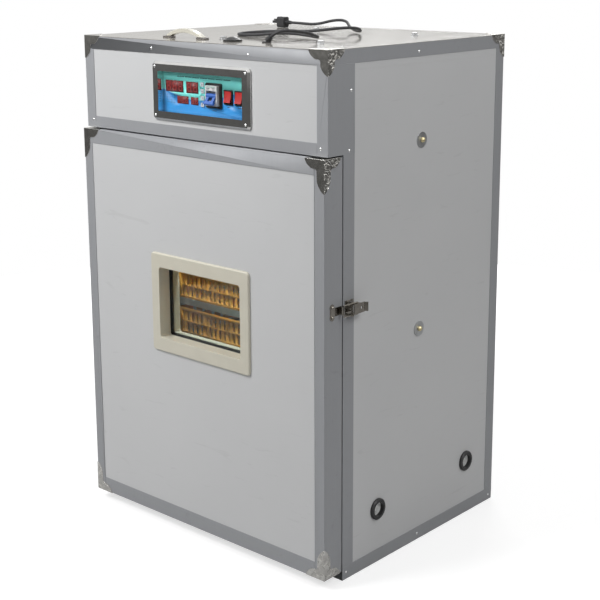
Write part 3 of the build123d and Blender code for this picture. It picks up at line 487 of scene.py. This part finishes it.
def set_camera():
    data = bpy.data.cameras.new("camera")
    camera = bpy.data.objects.new("camera", data)
    scene.collection.objects.link(camera)
    forward = Vector((-sin(CAMERA_AZIMUTH) * cos(CAMERA_DROP), cos(CAMERA_AZIMUTH) * cos(CAMERA_DROP),
                      -sin(CAMERA_DROP)))
    right = Vector((cos(CAMERA_AZIMUTH), sin(CAMERA_AZIMUTH), 0))
    up = right.cross(forward)
    right, up = (cos(CAMERA_ROLL) * right + sin(CAMERA_ROLL) * up,
                 cos(CAMERA_ROLL) * up - sin(CAMERA_ROLL) * right)
    turn = Matrix((right, up, -forward)).transposed().to_4x4()
    camera.matrix_world = Matrix.Translation(CAMERA_PLACE) @ turn
    data.sensor_width = 36
    data.lens = CAMERA_LENS
    data.shift_y = CAMERA_SHIFT
    data.clip_end = 100
    scene.camera = camera


def set_world():
    """White surroundings that fade to dark below the horizon, where polished metal mirrors them."""
    world = bpy.data.worlds.new("studio")
    scene.world = world
    world.use_nodes = True
    world.node_tree.nodes.clear()
    w = Nodes(world.node_tree, "Generated")
    ramp = w.node("ShaderNodeValToRGB")
    for position, grey in SKY_STOPS:
        stops = ramp.color_ramp.elements
        stop = stops[0] if position == 0 else stops.new(position)
        stop.position = position
        stop.color = (grey, grey * 0.99, grey * 0.97, 1)
    w.link(w.math("MULTIPLY_ADD", w.axis("Z"), 0.5, 0.5), ramp.inputs[0])
    path = w.node("ShaderNodeLightPath")
    soft = w.node("ShaderNodeBackground")
    w.link(ramp.outputs[0], soft.inputs[0])
    w.link(w.remap(path.outputs["Is Glossy Ray"], 0, 1, WORLD_LIGHT, WORLD_GLOSS), soft.inputs[1])
    plain = w.node("ShaderNodeBackground")
    plain.inputs[0].default_value = (1, 1, 1, 1)
    mix = w.node("ShaderNodeMixShader")
    w.link(path.outputs["Is Camera Ray"], mix.inputs[0])
    w.link(soft.outputs[0], mix.inputs[1])
    w.link(plain.outputs[0], mix.inputs[2])
    w.link(mix.outputs[0], w.node("ShaderNodeOutputWorld").inputs[0])


def set_lamps():
    scene.view_settings.view_transform = "Standard"
    scene.view_settings.look = "None"
    for name, place, target, size, power in LAMPS:
        data = bpy.data.lights.new(name, "AREA")
        data.shape = "RECTANGLE"
        data.size, data.size_y = size
        data.energy = power
        lamp = bpy.data.objects.new(name, data)
        scene.collection.objects.link(lamp)
        lamp.location = place
        lamp.rotation_euler = (Vector(target) - Vector(place)).to_track_quat("-Z", "Y").to_euler()


def floor_sheet():
    """Round pale sheet that turns pure white towards its rim."""
    bm = bmesh.new()
    bmesh.ops.create_circle(bm, cap_ends=True, segments=96, radius=FLOOR_RADIUS)
    mesh = mesh_from(bm, "floor")
    s = Surface("floor_paper", (0.5, 0.5, 0.5), 0.9)
    s.set("Specular IOR Level", 0.0)
    s.set("Emission Color", (1, 1, 1, 1))
    x, y = s.axis("X"), s.axis("Y")
    away = s.math("SQRT", s.math("MULTIPLY_ADD", x, x, s.math("MULTIPLY", y, y)))
    glow_up = s.remap(away, FLOOR_GLOW_FROM, 0.8 * FLOOR_RADIUS, *FLOOR_GLOW)
    seen = s.remap(s.node("ShaderNodeLightPath").outputs["Is Camera Ray"], 0, 1, 0.12, 1.0)
    s.link(s.math("MULTIPLY", glow_up, seen), s.bsdf.inputs["Emission Strength"])
    s.tint(s.remap(s.noise(0.6, 3), 0.4, 0.7, 0, 0.3), (0.48, 0.48, 0.485))
    mesh.materials.append(s.done())
    floor = bpy.data.objects.new("floor", mesh)
    scene.collection.objects.link(floor)


# ---- mains cord ----------------------------------------------------------------------------
# route in millimetres, from the gland to the plug: right, left, right and left across the top,
# never crossing itself, and lifting off the top after the gland, at its last bend and near the plug
CORD_ROUTE = [
    (144.6, -259.6, 1181.5), (160, -257, 1195), (186, -240, 1197), (197, -200, 1191),
    (188, -155, 1180), (158, -118, 1174.5), (112, -102, 1177), (62, -124, 1182), (4, -146, 1176),
    (-48, -150, 1173.7), (-88, -126, 1173.7), (-86, -82, 1175), (-46, -50, 1178), (22, -46, 1179),
    (86, -36, 1183), (134, -8, 1190), (141, 42, 1188), (116, 88, 1177), (68, 124, 1174.5),
    (22, 156, 1181), (-22, 198, 1193), (-66, 204, 1193), (-104, 178, 1181), (-150, 172, 1183),
    (-186, 173, 1183.6)]
CORD_DIAMETER = 0.007


def mains_cord(material):
    """The cord as a round tube along its route; returns it and the point where it leaves the gland."""
    route = [tuple(value / 1000 for value in place) for place in CORD_ROUTE]
    curve = bpy.data.curves.new("mains_cord", "CURVE")
    curve.dimensions = "3D"
    curve.bevel_depth = CORD_DIAMETER / 2
    curve.bevel_resolution = 6
    curve.resolution_u = 12
    curve.use_fill_caps = True
    spline = curve.splines.new("NURBS")
    spline.points.add(len(route) - 1)
    for point, place in zip(spline.points, route):
        point.co = (*place, 1)
    spline.order_u = 3
    spline.use_endpoint_u = True
    cord = add_object("mains_cord", curve, material, "cabinet")
    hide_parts("power_cord")
    return cord, route[0]


# ---- which faces take a second material ----------------------------------------------------
def is_panel_edge(center, normal):
    return center.z < TOP - SHEET_THICK


def is_embossed(center, normal):
    return abs(normal.x) > 0.7 or center.z < LOW_GUARDS


def is_handle_foot(center, normal):
    low_down = center.z < TOP + HANDLE_FOOT_HEIGHT and normal.z > -0.5
    return low_down and abs(center.x - HANDLE.x) > HANDLE_FOOT_FROM


def is_bolt_nut(center, normal):
    return abs(center.x) > BOLT_NUTS_FROM


def is_vent_mesh(center, normal):
    return VENT_MESH[0] < center.x < VENT_MESH[1]


def is_display(center, normal):
    margin = 0.0002
    return center.y < PLATE_FRONT - margin and any(
        abs(center.x - CONSOLE.x - x) < w / 2 + margin and abs(center.z - CONSOLE.z - z) < h / 2 + margin
        for x, z, w, h, _ in LED_WINDOWS)


def is_breaker_nose(center, normal):
    inside = abs(center.x - BREAKER.x) < BREAKER_HALF[0] and abs(center.z - BREAKER.z) < BREAKER_HALF[1]
    outer, inner = BREAKER_SURROUND
    surround = PLATE_FRONT - outer < center.y < PLATE_FRONT - inner
    return inside and not surround


# ---- digits and printed marks of the console -----------------------------------------------
def led_digits(material):
    front = LED_FRONT - SEGMENT_THICK
    point = 0.0012
    bm = bmesh.new()
    for dx, dz, w, h, count in LED_WINDOWS:
        pitch = w / count
        for i in range(count):
            x = CONSOLE.x + dx - w / 2 + pitch * (i + 0.5)
            seven_segments(bm, x, CONSOLE.z + dz, pitch * 0.5, h * 0.68, front)
            soft_mark(bm, x + pitch * 0.4, CONSOLE.z + dz - h * 0.36, point, point, front)
    finish_mesh("led_segments", bm, material, "cabinet")


def caption_row(bm, x, z, front, dashes=56, dashes_in_word=7):
    """Dashes of uneven length with a gap after each group."""
    for i in range(dashes):
        w = 0.0016 + 0.0011 * (0.5 + 0.5 * sin(i * 2.4))
        if i % (dashes_in_word + 1) != dashes_in_word:
            soft_mark(bm, x + w / 2, z, w, 0.0021, front)
        x += w + 0.0009


def note_block(bm, x, z, front, rows=4, columns=5, pitch=0.0056):
    """Block of short marks, alternately long and short."""
    for row in range(rows):
        for column in range(columns):
            width = 0.0016 if column % 2 else 0.0026
            soft_mark(bm, x + column * pitch, z - row * pitch, width, 0.0017, front)


def short_caption(bm, x, z, width, front, dashes=4):
    for i in range(dashes):
        soft_mark(bm, x + (i - 1.5) * width / dashes, z, width / 5.5, 0.0019, front)


def printed_marks(material):
    """Rows of plain dashes where the overlay carries its captions."""
    front = PLATE_FRONT - MARK_THICK
    rocker_left, rocker_right = (CONSOLE.x + x for x in ROCKERS_X)
    bm = bmesh.new()
    caption_row(bm, CONSOLE.x - 0.086, CONSOLE.z + 0.0345, front)
    note_block(bm, CONSOLE.x - 0.1195, CONSOLE.z - 0.0082, front)
    short_caption(bm, BREAKER.x, CONSOLE.z - 0.0345, 0.013, front)
    short_caption(bm, rocker_left, CONSOLE.z - 0.0235, 0.009, front)
    short_caption(bm, rocker_right, CONSOLE.z - 0.0235, 0.012, front)
    for number in range(1, 5):
        key = middle_of(f"key_{number}")
        soft_mark(bm, key.x + 0.0082, key.z, 0.0014, 0.0034, front)
    finish_mesh("printed_marks", bm, material, "cabinet")


def key_marks(material):
    """A dash and a tick on each key; the tick stands at a different height on each."""
    for number in range(1, 5):
        key = middle_of(f"key_{number}")
        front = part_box(f"key_{number}")[0].y
        bm = bmesh.new()
        soft_mark(bm, key.x, key.z, 0.0034, 0.0011, front - MARK_THICK)
        soft_mark(bm, key.x, key.z + 0.0014 * (number - 2.5), 0.0011, 0.0026, front - SEGMENT_THICK)
        finish_mesh(f"key_mark_{number}", bm, material, f"key_{number}")


def breaker_marks(dark, colour):
    """Plain rating marks, terminal screws and a coloured stripe on the breaker's white face."""
    front = PLATE_FRONT - BREAKER_NOSE
    bm = bmesh.new()
    for dx, upper, lower in ((-0.0095, 0.011, 0.007), (0.0085, 0.011, 0.006)):
        soft_mark(bm, BREAKER.x + dx, BREAKER.z + 0.0165, upper, 0.0012, front)
        soft_mark(bm, BREAKER.x + dx, BREAKER.z + 0.0138, lower, 0.0012, front)
    for dx in (-0.009, 0.009):
        place = Matrix.Translation((BREAKER.x + dx, front + 0.0001, BREAKER.z - 0.0165))
        bmesh.ops.create_cone(bm, cap_ends=True, segments=24, radius1=0.0022, radius2=0.0020, depth=0.0003,
                              matrix=place @ Matrix.Rotation(pi / 2, 4, "X"))
    finish_mesh("breaker_marks", bm, dark, "cabinet")
    bm = bmesh.new()
    soft_mark(bm, BREAKER.x, BREAKER.z + 0.0195, 0.026, 0.0013, front)
    finish_mesh("breaker_stripe", bm, colour, "cabinet")


# ---- build ---------------------------------------------------------------------------------
set_camera()
set_world()
set_lamps()
floor_sheet()

panel = coated_panel()
sheet = top_sheet()
trim = trim_aluminium()
nickel = polished_nickel()
embossed = embossed_nickel()
chrome = polished_nickel("bezel_chrome", (0.75, 0.75, 0.74), 0.07)
bright = polished_nickel("bright_zinc", (0.85, 0.86, 0.86), 0.2)
dark_nickel = polished_nickel("latch_nickel", (0.3, 0.28, 0.25), 0.16)
foot_metal = polished_nickel("foot_metal", (0.3, 0.28, 0.27), 0.18)
steel = plain_metal("zinc_steel", (0.55, 0.56, 0.57), 0.35)
brass = plain_metal("brass", (0.72, 0.62, 0.36), 0.28)
motor_metal = plain_metal("motor_metal", (0.2, 0.2, 0.21), 0.5)
heater_metal = plain_metal("heater_metal", (0.35, 0.34, 0.33), 0.4)
zinc = galvanised()
ivory = moulded("ivory_plastic", (0.66, 0.63, 0.53), 0.36, shade=0.93)
black = moulded("black_plastic", (0.014, 0.014, 0.015), 0.35)
white = moulded("white_plastic", (0.72, 0.73, 0.73), 0.32)
red = moulded("red_plastic", (0.5, 0.014, 0.014), 0.3)
blue = moulded("blue_plastic", (0.04, 0.14, 0.5), 0.35)
key_grey = moulded("key_plastic", (0.62, 0.66, 0.7), 0.35)
cream = moulded("handle_plastic", (0.62, 0.60, 0.52), 0.25, coat=0.3)
led_glass = moulded("led_glass", (0.14, 0.01, 0.012), 0.5)
ink = moulded("dark_ink", (0.03, 0.05, 0.07), 0.5)
green = moulded("green_ink", (0.12, 0.42, 0.3), 0.45)
mesh_white = moulded("mesh_white", (0.9, 0.91, 0.9), 0.5, shade=0.95)
board_green = moulded("board_green", (0.02, 0.12, 0.05), 0.4)
tray = tray_plastic()
rubber = black_rubber("black_rubber", (0.018, 0.018, 0.02))
cord_skin = black_rubber("cord_skin", (0.022, 0.022, 0.025))
pane = window_pane()
film = overlay_film()
led_red = glow("led_red", (0.62, 0.05, 0.04), 0.2)

# cabinet and door shells
for node in ("left_panel", "right_panel", "back_panel", "base_panel", "chamber_ceiling",
             "fascia_panel", "door_panel"):
    refined(node, panel, 0.0004)
refined("top_panel", sheet, 0.0006, also=[(panel, is_panel_edge)])
for node in ("edge_trims", "door_edge_trims"):
    refined(node, trim, 0.0004)
for node in ("top_corner_guards", "door_corner_guards"):
    refined(node, nickel, 0.0007, also=[(embossed, is_embossed)])
refined("fixing_screws", bright, 0.0003)

# console
refined("console_bezel", chrome, 0.0012, 3)
refined("control_plate", film, 0, also=[(led_glass, is_display)])
refined("switch_bodies", black, 0.0005, also=[(white, is_breaker_nose)])
led_digits(led_red)
printed_marks(ink)
key_marks(ink)
breaker_marks(ink, green)
for number in range(1, 5):
    refined(f"key_{number}", key_grey, 0.0006)
refined("rocker_left", red, 0.001)
refined("rocker_right", red, 0.001)
refined("breaker_lever", blue, 0.0008)

# fittings outside
refined("carry_handle", cream, 0.001, also=[(foot_metal, is_handle_foot)])
refined("top_bolts", steel, 0.0004)
refined("side_bolts", steel, 0.0004, also=[(brass, is_bolt_nut)])
for node in ("door_hinge_leaves", "cabinet_hinge_leaves"):
    refined(node, steel, 0.0004)
refined("vent_plug", black, 0.0006)
refined("cord_gland", rubber, 0.0006)
refined("cord_plug", rubber, 0.0008)
refined("side_vents", black, 0.0004, also=[(mesh_white, is_vent_mesh)])
for node in ("latch_base", "latch_lever", "latch_bail", "latch_keeper"):
    refined(node, dark_nickel, 0.0003)

# window and chamber
refined("window_frame", ivory, 0.0008, 3)
paint("window_glass", pane)
refined("door_seals", rubber, 0.0005)
for level in range(1, 7):
    refined(f"tray_carrier_{level}", zinc, 0.0003, 1)
    refined(f"egg_tray_{level}", tray, 0)
refined("link_bar", zinc, 0.0003)
refined("rack_posts", zinc, 0.0004)
refined("turning_motor", motor_metal, 0.0006)
refined("fan_rotor", black, 0.0004)
refined("heater_fan_mount", heater_metal, 0)
refined("water_pan", steel, 0.0004)
refined("sensor_probe", steel, 0.0004)
refined("control_electronics", board_green, 0.0003)

cord, cord_exit = mains_cord(cord_skin)
